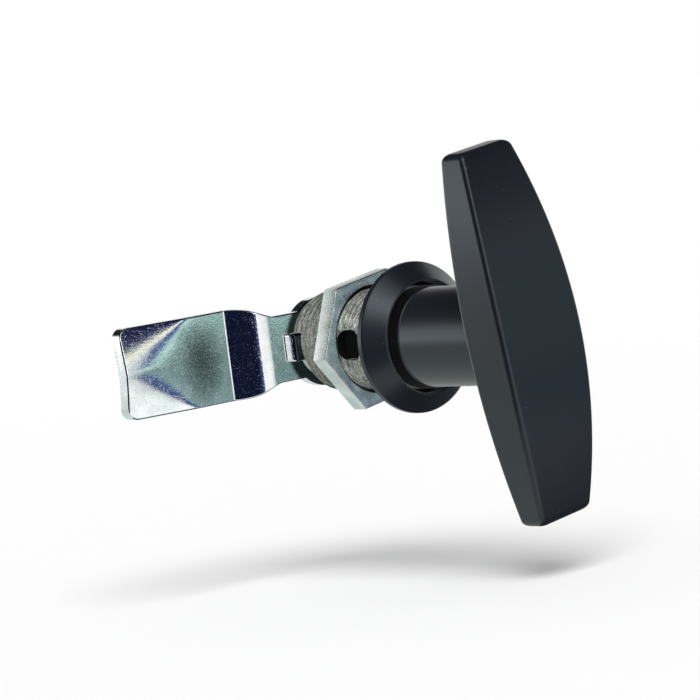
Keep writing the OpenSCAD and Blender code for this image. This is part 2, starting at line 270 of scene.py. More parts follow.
# %% Shader helper
class Wire:
    """An output socket. Arithmetic on it adds Math nodes, and node() adds any other node."""

    def __init__(self, socket):
        self.socket = socket

    def node(self, kind, settings=None, sockets=None, output=0):
        """Adds a node of a kind, makes its settings, then sets or links its input sockets."""
        tree = self.socket.id_data
        node = tree.nodes.new(kind)
        for key, value in (settings or {}).items():
            if key == "stops":
                self._stops(node.color_ramp, value)
            else:
                setattr(node, key, value)
        for key, value in (sockets or {}).items():
            if isinstance(value, Wire):
                tree.links.new(value.socket, node.inputs[key])
            else:
                node.inputs[key].default_value = value
        return Wire(node.outputs[output])

    @staticmethod
    def _stops(ramp, stops):
        """Sets a ramp's stops from (position, value or colour) pairs."""
        while len(ramp.elements) < len(stops):
            ramp.elements.new(1)
        for element, (position, colour) in zip(ramp.elements, stops):
            element.position = position
            element.color = (*colour, 1) if np.ndim(colour) else (colour, colour, colour, 1)

    def _math(self, operation, a, b):
        return self.node("ShaderNodeMath", {"operation": operation}, {0: a, 1: b})

    def __add__(self, other):
        return self._math("ADD", self, other)

    __radd__ = __add__

    def __sub__(self, other):
        return self._math("SUBTRACT", self, other)

    def __rsub__(self, other):
        return self._math("SUBTRACT", other, self)

    def __mul__(self, other):
        return self._math("MULTIPLY", self, other)

    __rmul__ = __mul__

    def __gt__(self, other):
        return self._math("GREATER_THAN", self, other)

    def axis(self, number):
        """X, Y or Z of these coordinates, for a number of 0, 1 or 2."""
        return self.node("ShaderNodeSeparateXYZ", {}, {0: self}, output=number)

    def noise(self, per_mm, detail=2, roughness=0.5):
        """Even noise from 0 to 1 with so many bumps to the millimetre."""
        sockets = {"Vector": self, "Scale": per_mm / MM, "Detail": detail, "Roughness": roughness}
        return self.node("ShaderNodeTexNoise", {}, sockets)

    def stretched(self, scale):
        """Coordinates scaled by different amounts along X, Y and Z."""
        return self.node("ShaderNodeMapping", {}, {"Vector": self, "Scale": scale})

    def ramp(self, *stops):
        """Straight line through (input, output) stops, or blend of colours. Inputs go from 0 to 1."""
        return self.node("ShaderNodeValToRGB", {"stops": stops}, {0: self})

    def blend(self, first, second):
        """Colour that goes from first to second as this value goes from 0 to 1.

        Sockets 6 and 7 of a Mix node are its two colours, and output 2 is the colour that results.
        """
        first, second = (c if isinstance(c, Wire) else (*c, 1) for c in (first, second))
        sockets = {"Factor": self, 6: first, 7: second}
        return self.node("ShaderNodeMix", {"data_type": "RGBA"}, sockets, output=2)

    def bump(self, height_mm, strength=1):
        """Normal that makes this value stand up by a height in millimetres."""
        sockets = {"Height": self, "Distance": height_mm * MM, "Strength": strength}
        return self.node("ShaderNodeBump", {}, sockets)


print("a wire can", [name for name in vars(Wire) if not name.startswith("_")])

# %% Materials
def new_finish(name):
    """New material, with a wire that carries the object coordinates."""
    material = bpy.data.materials.new(name)
    material.use_nodes = True
    coords = material.node_tree.nodes.new("ShaderNodeTexCoord")
    return material, Wire(coords.outputs["Object"])


def set_surface(material, **sockets):
    """Sets or links the Principled shader's sockets, with _ for a space in their names."""
    shader = material.node_tree.nodes["Principled BSDF"]
    for key, value in sockets.items():
        target = shader.inputs[key.replace("_", " ")]
        if isinstance(value, Wire):
            material.node_tree.links.new(value.socket, target)
        else:
            target.default_value = (*value, 1) if np.size(value) == 3 else value
    return material


print("finishes so far", len(bpy.data.materials))

# %% [markdown]
# ## The black coat
# Handle and flange are zinc castings with a black powder coat. Baked powder flows into a satin skin with a
# fine orange peel, a few specks of dust and a faint blue cast. The peel is two noises, one for the slow
# waves and one for the grain. Both go into the bump, and the grain into the roughness too. Recesses, bores
# and hidden faces get painted shade instead: a second, near-black matt finish.

# %% Black powder coat
COAT_COLOUR = (0.0068, 0.0088, 0.0122)
COAT_DUST = (0.12, 0.125, 0.13)
COAT_SHEEN = (0.82, 0.93, 1.0)
COAT_ROUGHNESS = 0.24
DUST_SHARE = 0.6
PEEL_MM = 0.012
# Near-black colours of the painted shade in recesses, bores and the hidden part of the handle.
SHADE_DARK = (0.001, 0.001, 0.0012)
SHADE_LIGHT = (0.0025, 0.0025, 0.003)


def coat_parts(coords):
    """Colour, roughness and height of the powder coat at the given coordinates."""
    peel = coords.noise(1.1, 2)
    grain = coords.noise(7, 3, 0.6)
    dust = coords.noise(1.3, 2, 0.6).ramp((0.73, 0), (0.76, 1))
    colour = (dust * DUST_SHARE).blend(COAT_COLOUR, COAT_DUST)
    return colour, COAT_ROUGHNESS + grain * 0.14, peel * 0.7 + grain * 0.3


def black_coat():
    """Powder coat for the outside of the handle."""
    material, coords = new_finish("black_powder_coat")
    colour, roughness, height = coat_parts(coords)
    set_surface(material, Specular_Tint=COAT_SHEEN)
    return set_surface(material, Base_Color=colour, Roughness=roughness, Normal=height.bump(PEEL_MM, 0.6))


def painted_shade_black():
    """Painted shade: a near-black matt finish in the recess, inside the housing and on the hidden part of
    the handle.
    """
    material, coords = new_finish("painted_shade_black")
    grain = coords.noise(4, 3)
    colour = grain.ramp((0.3, SHADE_DARK), (0.7, SHADE_LIGHT))
    set_surface(material, Specular_IOR_Level=0.06)
    return set_surface(
        material, Base_Color=colour, Roughness=0.6 + grain * 0.2, Normal=grain.bump(0.01, 0.5),
    )


def two_finishes(piece, first, second, where):
    """Gives the piece two finishes, the second on faces whose (radius, depth) in mm the test picks."""
    for finish in (first, second):
        piece.data.materials.append(finish)
    middle = np.empty(len(piece.data.polygons) * 3)
    piece.data.polygons.foreach_get("center", middle)
    x, depth, z = middle.reshape(-1, 3).T / MM
    picked = where(np.hypot(x, z), depth)
    piece.data.polygons.foreach_set("material_index", picked.astype(np.int32))
    return picked.sum()


handle_finish, painted_shade_finish = black_coat(), painted_shade_black()
print("finishes", handle_finish.name, painted_shade_finish.name)

# %% [markdown]
# ## The T-handle
# The grip is a crowned bar: wide and thick in the middle, slim at its ends, flat behind where the fingers
# pull. It could be a box under subdivision, but its width and thickness follow plain parabolas, so it is
# lofted from rounded rectangles whose sizes are those parabolas. The stem, its collar and the sleeve that
# runs into the housing are one turned shape, joined on at the end. The grip stands a few degrees off
# square to the cam, as in the photograph.

# %% Grip
handle_low, handle_high = corners_mm("t_handle")
GRIP_L = 79.8
GRIP_W = 23
GRIP_END_W = 14.4
GRIP_GAP = 28.1
GRIP_T = -handle_low[1] - GRIP_GAP
GRIP_END_T = 6.5
GRIP_EDGE = 1.0
GRIP_CAP = 1.4
GRIP_LEAN = np.radians(7.3)


def grip_points():
    """Rounded rectangles along Z. Width and thickness are middle - (middle - end) u^2, u from -1 to 1.

    At each end the outline draws in by cap (1 - cos) while it goes out by cap sin, a quarter round.
    """
    turn = np.radians(np.linspace(0, 90, 9))[1:]
    body_end = GRIP_L / 2 - GRIP_CAP
    body = np.linspace(-1, 1, 81) * body_end
    cap = body_end + GRIP_CAP * np.sin(turn)
    draw_in = GRIP_CAP * (1 - np.cos(turn))
    height = np.concatenate([-cap[::-1], body, cap])
    inset = np.concatenate([draw_in[::-1], np.zeros_like(body), draw_in])
    share = (2 * height / GRIP_L) ** 2
    thick = GRIP_T - (GRIP_T - GRIP_END_T) * share
    half_w = (GRIP_W - (GRIP_W - GRIP_END_W) * share) / 2 - inset
    outline = loft_rect(half_w, thick / 2 - inset, np.full_like(inset, GRIP_EDGE))
    x, y = outline[..., 0], outline[..., 1] - GRIP_GAP - thick[:, None] / 2
    z = np.broadcast_to(height[:, None], x.shape)
    lean, rise = np.cos(GRIP_LEAN), np.sin(GRIP_LEAN)
    return np.stack([x * lean - z * rise, y, x * rise + z * lean], -1)


grip = make_piece("t_handle_coated", grip_points())
print("grip", grip.dimensions)

# %% Stem, collar and sleeve
STEM_R = 10.65
STEM_ROOT = 3
STEM_FRONT = -GRIP_GAP - STEM_ROOT
COLLAR_R = 10.95
COLLAR_FRONT = -7.1
COLLAR_BACK = -2.55
COLLAR_EDGE = 0.29
SLEEVE_R = 7.95
SLEEVE_END = handle_high[1]
ROD_R = 5.03
ROD_FRONT = -12.03
GROOVE_R = 6.35
GROOVE_FRONT = 0.9
GROOVE_BACK = 3.1
PIN_AT = 9.7
PIN_HOLE_R = 2.03
PIN_REACH = 12
# The coat runs this far onto the collar. Behind it the handle takes the painted shade finish.
UNSHADED_COLLAR = 0.3

stem_profile = rounded([
    (0, STEM_FRONT, 0), (STEM_R, STEM_FRONT, 0), (STEM_R, COLLAR_FRONT, 0),
    (COLLAR_R, COLLAR_FRONT, COLLAR_EDGE), (COLLAR_R, COLLAR_BACK, 0.2), (SLEEVE_R, COLLAR_BACK, 0),
    (SLEEVE_R, GROOVE_FRONT, 0.1), (GROOVE_R, GROOVE_FRONT, 0), (GROOVE_R, GROOVE_BACK, 0),
    (SLEEVE_R, GROOVE_BACK, 0.1), (SLEEVE_R, SLEEVE_END, 0.3), (ROD_R, SLEEVE_END, 0.2),
    (ROD_R, ROD_FRONT, 0), (0, ROD_FRONT, 0),
])
carve(grip, make_piece("stem", turned(stem_profile), ring=True), "UNION")
pin_ends = [(0, -PIN_REACH), (PIN_HOLE_R, -PIN_REACH), (PIN_HOLE_R, PIN_REACH), (0, PIN_REACH)]
upright_pin = turned(pin_ends, 48)[..., [0, 2, 1]]
carve(grip, make_piece("pin_hole", upright_pin + [0, PIN_AT, 0]), "DIFFERENCE")
# Painted shade on the collar's side in the recess and on the sleeve, which shows black through the window.
shade_starts = COLLAR_FRONT + UNSHADED_COLLAR
shaded_count = two_finishes(grip, handle_finish, painted_shade_finish, lambda radius, depth: depth > shade_starts)
print("matt faces on the handle", shaded_count)
seat(grip, "rotor", "handle_black", "t_handle")

# %% [markdown]
# ## The housing
# One zinc casting: a coned flange, coated black, and a bare threaded shank. The thread is a real helix: the
# radius of the shank rises and falls with depth / pitch - angle / turn. The rows of the grid lie close
# together there and stay far apart elsewhere. The window and the quarter cut for the stop lug are cut
# out afterwards, because their edges cross the thread.

# %% Thread
housing_low, housing_high = corners_mm("housing")
STOP_END = housing_high[1]
PILOT_L = 6
THREAD_ROOT_R = 10.05
THREAD_DEPTH = 0.82
THREAD_PITCH = 1.5
THREAD_STEEP = 0.75
LEAD_IN_L = 0.7
BARE_END_L = 0.3
RUNOUT_L = 2.4
WINDOW_AT = 9.7
WINDOW_HALF_L = 3.5
WINDOW_HALF_W = 3.3
WINDOW_CORNER_R = 2.6
WINDOW_FADE = 0.5
# The far side of the shank counts as this far from the window.
FAR_SIDE = 9


def smooth_step(value):
    """0 below 0, 1 above 1, and 3 v^2 - 2 v^3 between."""
    value = np.clip(value, 0, 1)
    return value * value * (3 - 2 * value)


def thread_rise(angle, depth):
    """Height of the thread: a wave of depth / pitch - angle / turn, cut flat at crest and root.

    It fades in and out at its ends, and round the window it gives way to the middle diameter.
    """
    phase = depth / THREAD_PITCH - angle / (2 * np.pi)
    wave = np.clip(0.5 + THREAD_STEEP * np.cos(2 * np.pi * phase), 0, 1)
    fade_in = smooth_step((depth - PILOT_L) / LEAD_IN_L)
    fade_out = smooth_step((STOP_END - BARE_END_L - depth) / RUNOUT_L)
    off_y = np.abs(depth - WINDOW_AT) / WINDOW_HALF_L
    off_z = THREAD_ROOT_R * np.abs(np.sin(angle)) / WINDOW_HALF_W + FAR_SIDE * (np.cos(angle) > 0)
    near = 1 - smooth_step((np.hypot(off_y, off_z) - 1) / WINDOW_FADE)
    return THREAD_DEPTH * fade_in * fade_out * (wave + (0.5 - wave) * near)


print("thread from", PILOT_L, "to", STOP_END, "mm")

# %% Casting
FLANGE_R = housing_high[0]
FLANGE_H = -housing_low[1]
RIM_T = 1.3
CREST_R = 12.4
RECESS_R = 12
RECESS_FLOOR = -1.5
PILOT_R = 11
SHANK_L = 24.5
SHANK_END_R = 9.92
BORE_R = 8
SHOULDER_FRONT = 14
SHOULDER_BACK = 16.5
SHOULDER_R = 5.05
ROWS_PER_PITCH = 18
OUTER_WALL_R = SHANK_END_R - 0.3
THREADED_R = SHANK_END_R - 0.1


def dense(line, spacing):
    """Adds points along a line, up to its last point, so that no step is longer than the spacing."""
    ahead = np.diff(line, axis=0)
    count = np.maximum(np.ceil(np.linalg.norm(ahead, axis=1) / spacing), 1).astype(int)
    start = np.repeat(np.cumsum(count) - count, count)
    share = (np.arange(count.sum()) - start) / np.repeat(count, count)
    return np.repeat(line[:-1], count, 0) + np.repeat(ahead, count, 0) * share[:, None]


def housing_points(columns=160):
    """Turned casting whose shank radius carries the thread: the profile's radius plus the rise."""
    plain = rounded([
        (BORE_R, RECESS_FLOOR, 0.1), (RECESS_R, RECESS_FLOOR, 0.3), (RECESS_R, -FLANGE_H, 0.15),
        (CREST_R, -FLANGE_H, 0.24), (FLANGE_R, -RIM_T, 0.5), (FLANGE_R, 0, 0.15), (PILOT_R, 0, 0.1),
        (PILOT_R, PILOT_L, 0.25), (THREAD_ROOT_R, PILOT_L, 0), (THREAD_ROOT_R, STOP_END - RUNOUT_L, 0),
        (SHANK_END_R, STOP_END, 0.25), (BORE_R, STOP_END, 0.2), (BORE_R, SHOULDER_BACK, 0),
        (SHOULDER_R, SHOULDER_BACK, 0.1), (SHOULDER_R, SHOULDER_FRONT, 0.1), (BORE_R, SHOULDER_FRONT, 0),
    ])
    on_shank = (plain[:, 0] > OUTER_WALL_R) & (plain[:, 1] > PILOT_L - 0.01)
    first, last = np.flatnonzero(on_shank)[[0, -1]]
    shank = dense(plain[first:last + 1], THREAD_PITCH / ROWS_PER_PITCH)
    profile = np.concatenate([plain[:first], shank, plain[last:]])
    radius, depth = profile[:, :1], profile[:, 1:]
    angle = whole_turn(columns)
    threaded = (radius > THREADED_R) & (depth > PILOT_L)
    return about_axis(radius + np.where(threaded, thread_rise(angle, depth), 0), angle, depth)


housing = make_piece("housing_casting", housing_points(), ring=True)
print("housing", housing.dimensions)

# %% Window and stop
STOP_FACE = 3.05
# The stop's cutter reaches this far past the shank.
CUT_PAST = 20

# The window's cutter runs from outside the shank to inside the bore, on the left.
window_shape = loft_rect([WINDOW_HALF_L] * 2, [WINDOW_HALF_W] * 2, [WINDOW_CORNER_R] * 2)
window_x = np.broadcast_to(np.array([[-PILOT_R * 1.5], [-BORE_R * 0.6]]), window_shape.shape[:2])
window_points = np.stack([window_x, window_shape[..., 0] + WINDOW_AT, window_shape[..., 1]], -1)
carve(housing, make_piece("window", window_points), "DIFFERENCE")
stop_low, stop_high = (-CUT_PAST, SHANK_L, -CUT_PAST), (STOP_FACE, STOP_END + CUT_PAST, STOP_FACE)
carve(housing, make_piece("stop", block(stop_low, stop_high)), "DIFFERENCE")
print("housing with window and stop", len(housing.data.polygons), "faces")

# %% [markdown]
# ## Coat and bare zinc on one casting
# The flange is coated, the shank was masked off. Bare die-cast zinc is a dull, warm grey metal, with a fine
# grain from the thread cutting and darker marks in the roots, and it is made darker behind the nut. One
# material holds both, and a mask on the depth says which shows. The edge of the mask wanders a little, as
# a masked edge does.

# %% Housing finish
ZINC_LIGHT = (0.56, 0.585, 0.515)
ZINC_DARK = (0.05, 0.054, 0.046)
ZINC_METAL = 0.8
# The bare zinc is made darker from this depth on, behind the nut.
DARKER_FROM = 14
DARKER_SHARE = 0.35
MASK_AT = 0.12
MASK_WANDER = 0.15
ZINC_GRAIN_MM = 0.025


def housing_finish():
    """Powder coat in front of the seat and grainy bare zinc on the shank."""
    material, coords = new_finish("coated_and_bare_zinc")
    colour, roughness, height = coat_parts(coords)
    grain = coords.noise(3.2, 3, 0.75)
    marks = coords.stretched((0.3, 2.5, 0.3)).noise(1.6, 3)
    spots = (grain * 0.7 + marks * 0.3).ramp((0.4, 0), (0.6, 1))
    depth = coords.axis(1)
    zinc = (spots * (1 - (depth > DARKER_FROM * MM) * DARKER_SHARE)).blend(ZINC_DARK, ZINC_LIGHT)
    bare = (depth + coords.noise(0.6) * (MASK_WANDER * MM)) > MASK_AT * MM
    set_surface(material, Specular_Tint=COAT_SHEEN)
    return set_surface(
        material, Base_Color=bare.blend(colour, zinc), Metallic=bare * ZINC_METAL,
        Roughness=roughness + bare * (0.12 + grain * 0.12),
        Normal=(height * (1 - bare) * 0.4 + grain * bare).bump(ZINC_GRAIN_MM, 0.7),
    )


def in_painted_shade(radius, depth):
    """True where painted shade goes: in the recess, in the bore and on the walls of the window, a hair
    inside their edges.
    """
    recess = (radius < RECESS_R + 0.02) & (depth < -0.05)
    return recess | (radius < THREAD_ROOT_R - 0.03) & (depth < SHANK_L - 0.05)


# Recess, bore and window walls take the painted shade finish.
shaded_count = two_finishes(housing, housing_finish(), painted_shade_finish, in_painted_shade)
print("matt faces on the housing", shaded_count)
seat(housing, "housing", "housing_zinc", "housing")

# %% [markdown]
# ## The panel nut
# A thin hexagon with broken edges and a wide countersink, so that the thread starts easily. As a surface
# it is a ring whose outside radius is the hexagon's, flat / cos(angle from the middle of a side), and whose
# inside carries the same helix as the shank, a hair larger.

# %% Nut
nut_low, nut_high = corners_mm("hex_nut")
NUT_AF = 27
NUT_AT = nut_low[1]
NUT_T = nut_high[1] - NUT_AT
NUT_TURN = np.radians(-51.1)
NUT_EDGE = 0.2
NUT_MOUTH_R = 11.75
NUT_BORE_R = 10.08
FACE_GUARD = 1.2
SIDE_STEPS = 24


def hexagon(angle, flat):
    """Distance from the middle of a hexagon to its side: flat / cos(angle from the side's middle)."""
    return flat / np.cos((angle % (np.pi / 3)) - np.pi / 6)


def nut_points():
    """Ring of rows that run over the front face, the sides, the back face and the bore."""
    angle = whole_turn(6 * SIDE_STEPS)
    quarter = np.radians(np.linspace(0, 90, 6))
    inset = NUT_EDGE * (1 - np.sin(quarter))
    rise = NUT_EDGE * (1 - np.cos(quarter))
    side_inset = np.concatenate([[FACE_GUARD], inset, inset[::-1], [FACE_GUARD]])
    side_depth = np.concatenate([[0], rise, NUT_T - rise[::-1], [NUT_T]])
    side = hexagon(angle, NUT_AF / 2) * (1 - side_inset[:, None] / (NUT_AF / 2))
    mouth_depth = (NUT_MOUTH_R - NUT_BORE_R) * np.tan(np.pi / 6)
    bore_depth = np.linspace(NUT_T - mouth_depth, mouth_depth, 30)
    bore = NUT_BORE_R + thread_rise(angle + NUT_TURN, NUT_AT + bore_depth[:, None])
    mouth = np.full((1, len(angle)), NUT_MOUTH_R)
    radius = np.concatenate([mouth, side, mouth, bore])
    depth = NUT_AT + np.concatenate([[0], side_depth, [NUT_T], bore_depth])[:, None]
    return about_axis(radius, angle + NUT_TURN, depth)


nut = make_piece("hex_nut_plated", nut_points(), ring=True)
print("nut", nut.dimensions)

# %% [markdown]
# ## Zinc plate
# Cam, nut and fasteners are bright zinc plated: a shiny metal with a cold blue-green cast. Rolled plate is
# never quite flat, so its reflections break into a fine speckle with dull dots, and handling leaves short
# scratches. The speckle is a noise in the bump, the dots are the peaks of a finer noise in the roughness,
# and the scratches are thin lines where a stretched noise crosses a level.

# %% Zinc plate finish
PLATE_TONES = ((0.60, 0.66, 0.655), (0.72, 0.77, 0.765))
NUT_TONES = ((0.52, 0.58, 0.55), (0.70, 0.75, 0.72))
# Near-black colour of the painted shade and painted reflections on the plate.
PAINTED_DARK = (0.02, 0.022, 0.024)


def between(value, low, high):
    """1 where a value lies between two depths in millimetres, and 0 elsewhere."""
    return (value > low * MM) * (1 - (value > high * MM))


def zinc_plate(name, roughness, speckle_mm, scratch, tones=PLATE_TONES, shade_pattern=None):
    """Bright zinc: a base roughness, a speckle of the given depth, a share of scratches and two tones.

    Where a pattern of painted shade is given, it darkens the plate as it goes from 0 to 1.
    """
    material, coords = new_finish(name)
    cloud = coords.noise(0.3, 3)
    speckle = coords.noise(2.2, 3, 0.65)
    line = coords.stretched((0.45, 1, 1.6)).noise(0.8, 1).ramp((0.488, 0), (0.5, 1), (0.512, 0))
    where = coords.noise(0.6, 2).ramp((0.54, 0), (0.6, 1))
    mark = line * where * scratch
    dots = coords.noise(3.2, 2, 0.6).ramp((0.585, 0), (0.665, 1)) * scratch
    colour = cloud.ramp((0.35, tones[0]), (0.65, tones[1]))
    if shade_pattern:
        colour = shade_pattern(coords, speckle).blend(colour, PAINTED_DARK)
    return set_surface(
        material, Base_Color=colour, Metallic=1.0,
        Roughness=roughness + speckle * 0.05 + mark * 0.35 + dots * 0.3,
        Normal=(speckle - mark * 0.5).bump(speckle_mm),
    )


def nut_face_shade(coords, speckle):
    """Share of painted shade on the nut's front face, which darkens what it reflects there: a cloudy noise.
    """
    cloud = coords.noise(0.25, 2).ramp((0.35, 0.08), (0.65, 0.42))
    return (cloud + speckle * 0.1) * between(coords.axis(1), NUT_AT - 0.1, NUT_AT + 0.1)


nut_zinc = zinc_plate("nut_zinc_plate", 0.24, 0.014, 0.6, NUT_TONES, nut_face_shade)
# Painted shade: the countersink and the thread of the nut take the near-black finish.
dark = two_finishes(nut, nut_zinc, painted_shade_finish, lambda radius, depth: radius < NUT_MOUTH_R - 0.02)
print("dark faces in the nut", dark)
seat(nut, "housing", "plated_steel", "hex_nut")

# %% [markdown]
# ## The cam
# The cam is a strip of 3 mm steel: a round hub, a narrow waist, a crank that steps it back behind the frame
# of the door, and a tip whose corners are folded back as run-in ramps. A bent box would need many loops.
# Here a rounded rectangle, the strip's section, is carried along the bent middle line. Its width is the
# outline of the cam, and the ramps push the corners back by an amount that grows smoothly beyond the fold.

# %% Middle line of the cam
cam_low, cam_high = corners_mm("cam")
CAM_T = 3
CAM_AT = corners_mm("flat_washer")[0][1] - CAM_T
CRANK_STEP = 7
CRANK_ANGLE = np.radians(66)
CRANK_END = 22.16
BEND_R = 3.0
TIP_BEND_R = 0.7
MID_R = (BEND_R + CAM_T / 2, TIP_BEND_R + CAM_T / 2)
BEND_RISE = sum(MID_R) * (1 - np.cos(CRANK_ANGLE))
SLOPE_L = (CRANK_STEP - BEND_RISE) / np.sin(CRANK_ANGLE)
CRANK_RUN = sum(MID_R) * np.sin(CRANK_ANGLE) + SLOPE_L * np.cos(CRANK_ANGLE)
CRANK_L = sum(MID_R) * CRANK_ANGLE + SLOPE_L
CRANK_AT = CRANK_END - CRANK_RUN


def middle_line(length):
    """Reach, depth and slope of the strip's middle, at a length along it from the axis.

    The slope rises evenly round the first bend, holds on the crank and falls round the second bend.
    """
    near, far = MID_R
    bend = length - CRANK_AT
    first = np.clip(bend / near, 0, CRANK_ANGLE)
    on_slope = np.clip(bend - near * CRANK_ANGLE, 0, SLOPE_L)
    second = np.clip((bend - near * CRANK_ANGLE - SLOPE_L) / far, 0, CRANK_ANGLE)
    lead = np.minimum(length, CRANK_AT)
    tail = np.maximum(bend - CRANK_L, 0)
    turn_back = far * (np.sin(CRANK_ANGLE) - np.sin(CRANK_ANGLE - second))
    reach = lead + near * np.sin(first) + on_slope * np.cos(CRANK_ANGLE) + turn_back + tail
    fall_back = far * (np.cos(CRANK_ANGLE - second) - np.cos(CRANK_ANGLE))
    depth = near * (1 - np.cos(first)) + on_slope * np.sin(CRANK_ANGLE) + fall_back
    return reach, CAM_AT + CAM_T / 2 + depth, first - second


print("crank from", round(CRANK_AT, 2), "to", CRANK_END, "mm")

# %% Outline and ramps of the cam
CAM_REACH = -cam_low[0]
CAM_W = 2 * cam_high[2]
HUB_R = cam_high[0]
WAIST_W = 14.6
FLARE_FROM = 13.3
FLARE_TO = 20.2
TIP_R = 2.6
CAM_EDGE = 0.35
RAMP_L = 17.1
RAMP_ANGLE = np.radians(13)
RAMP_SOFT = 7.0
FOLD_FADE = 4.2
ROLL_L = 8
ROLL_ANGLE = np.radians(1.5)


def half_width(reach):
    """Half the cam's width at a reach: hub circle, waist, smooth flare, straight tip and round corners."""
    hub = np.sqrt(np.maximum(HUB_R ** 2 - reach ** 2, 0))
    flare = np.clip((reach - FLARE_FROM) / (FLARE_TO - FLARE_FROM), 0, 1)
    rise = 0.5 - 0.5 * np.cos(np.pi * flare)
    arm = np.where(reach > 0, WAIST_W + (CAM_W - WAIST_W) * rise, 0) / 2
    corner = np.clip(reach - CAM_REACH + TIP_R, 0, TIP_R)
    return np.maximum(hub, arm) - (TIP_R - np.sqrt(TIP_R ** 2 - corner ** 2))


def folded_back(reach, across):
    """Depth that the ramps and the rolled tip add.

    A ramp's depth is tan(angle) (d + hypot(d, soft)) / 2, with d the way beyond the fold line. The fold is
    tight at the side of the strip and opens like a cone towards the tip. The last stretch of the tip is
    rolled back a little: depth grows with the square of the way past the start of the roll.
    """
    fold_l = np.hypot(CAM_W / 2, RAMP_L)
    beyond = ((reach - CAM_REACH) * CAM_W / 2 + np.abs(across) * RAMP_L) / fold_l
    along = ((reach - CAM_REACH + RAMP_L) * RAMP_L + (CAM_W / 2 - np.abs(across)) * CAM_W / 2) / fold_l
    soft = RAMP_SOFT * np.clip(along / fold_l, 0.08, 1.2)
    fold = np.tan(RAMP_ANGLE) * (beyond + np.hypot(beyond, soft)) / 2
    roll = np.maximum(reach - CAM_REACH + ROLL_L, 0) ** 2 * np.tan(ROLL_ANGLE) / (2 * ROLL_L)
    return fold * smooth_step((reach - CRANK_END) / FOLD_FADE) + roll


print("cam reach", CAM_REACH, "width", CAM_W)

# %% Cam strip
def strip_rows():
    """Lengths along the strip, close together where it is round, and how far each row is drawn in."""
    tip = CAM_REACH - CRANK_RUN + CRANK_L
    hub = -HUB_R * np.cos(np.linspace(0, np.pi / 2, 40))
    arm = np.linspace(0, tip - TIP_R, 190)[1:]
    corner = tip - TIP_R + TIP_R * np.sin(np.linspace(0, np.pi / 2, 18))[1:-1]
    turn = np.radians(np.linspace(0, 90, 7))
    cap = tip - CAM_EDGE * (1 - np.sin(turn))
    length = np.concatenate([hub, arm, corner[corner < cap[0]], cap])
    inset = np.concatenate([np.zeros(len(length) - len(cap)), CAM_EDGE * (1 - np.cos(turn))])
    return length, inset


def cam_points():
    """Sections carried along the middle line, square to its slope, and then folded back."""
    length, inset = strip_rows()
    reach, depth, slope = middle_line(length)
    wide = np.maximum(half_width(np.minimum(reach, CAM_REACH - 1e-4)) - inset, 0.02)
    edge = np.minimum(np.maximum(CAM_EDGE - inset, 0.08), wide * 0.98)
    section = loft_rect(wide, CAM_T / 2 - inset, edge, 5, 40)
    across, through = section[..., 0], section[..., 1]
    reach = reach[:, None] - through * np.sin(slope)[:, None]
    depth = depth[:, None] + through * np.cos(slope)[:, None]
    return np.stack([-reach, depth + folded_back(reach, across), across], -1)


cam = make_piece("cam_plated", cam_points())
print("cam", cam.dimensions)

# %% [markdown]
# ## The stop lug
# A punch has pressed a block out of the hub towards the housing. It swings in the quarter cut of the shank
# and stops the cam at both ends. A pressed block has a rounded root, so its section widens close to the
# plate like a quarter circle. A square hole takes the spindle.

# %% Stop lug and square hole
LUG_W = 6
LUG_H = CAM_AT - cam_low[1]
LUG_INNER_R = 8.05
LUG_OUTER_R = 11.65
LUG_ROOT = 0.35
LUG_EDGE = 0.6
LUG_CORNER_R = 0.4
SQUARE_W = 9.06


def lug_points():
    """Rounded rectangles from inside the plate to the lug's end: wide at the root, drawn in at the end."""
    turn = np.radians(np.linspace(0, 90, 8))
    root_flare = LUG_ROOT * (1 - np.sin(turn))
    end_inset = LUG_EDGE * (1 - np.cos(turn[1:]))
    flare = np.concatenate([[LUG_ROOT], root_flare, -end_inset])
    root_rise = LUG_ROOT * (1 - np.cos(turn))
    end_rise = LUG_H - LUG_EDGE * (1 - np.sin(turn[1:]))
    rise = np.concatenate([[-1], root_rise, end_rise])
    thick = LUG_OUTER_R - LUG_INNER_R + flare
    half_w = LUG_W / 2 + np.minimum(flare, 0)
    outline = loft_rect(half_w, thick / 2, np.full_like(flare, LUG_CORNER_R))
    x = -LUG_INNER_R - thick[:, None] / 2 + outline[..., 1]
    y = np.broadcast_to(CAM_AT - rise[:, None], x.shape)
    return np.stack([x, y, outline[..., 0]], -1)


carve(cam, make_piece("lug", lug_points()), "UNION")
hole_half = SQUARE_W / 2
hole_low = (-hole_half, CAM_AT - 1, -hole_half)
hole_high = (hole_half, CAM_AT + CAM_T + 1, hole_half)
carve(cam, make_piece("square_hole", block(hole_low, hole_high)), "DIFFERENCE")
print("cam with lug and hole", len(cam.data.polygons), "faces")

# %% [markdown]
# ## Painted shade on the cam
# The front of the tip carries a dark cloud, a painted reflection, and painted shade darkens the hub and
# the end of the lug where they face the housing. The cloud and the hub shade could be painted by hand. A
# distance worked out in the shader does the same and stays soft at any size: an ellipse for the cloud, a
# circle for the hub.

# %% Cam finish
# Place and size of the painted reflection on the tip, and the reach of the painted shade on the hub.
DARK_SPOT_AT = (-29.2, 0)
DARK_SPOT_SIZE = (5.0, 8.2)
HUB_SHADE_R = 11.2
HUB_SHADE_FADE = 1.0
RAMP_PER_MM = 0.05
SHADE_SHARE = 0.97


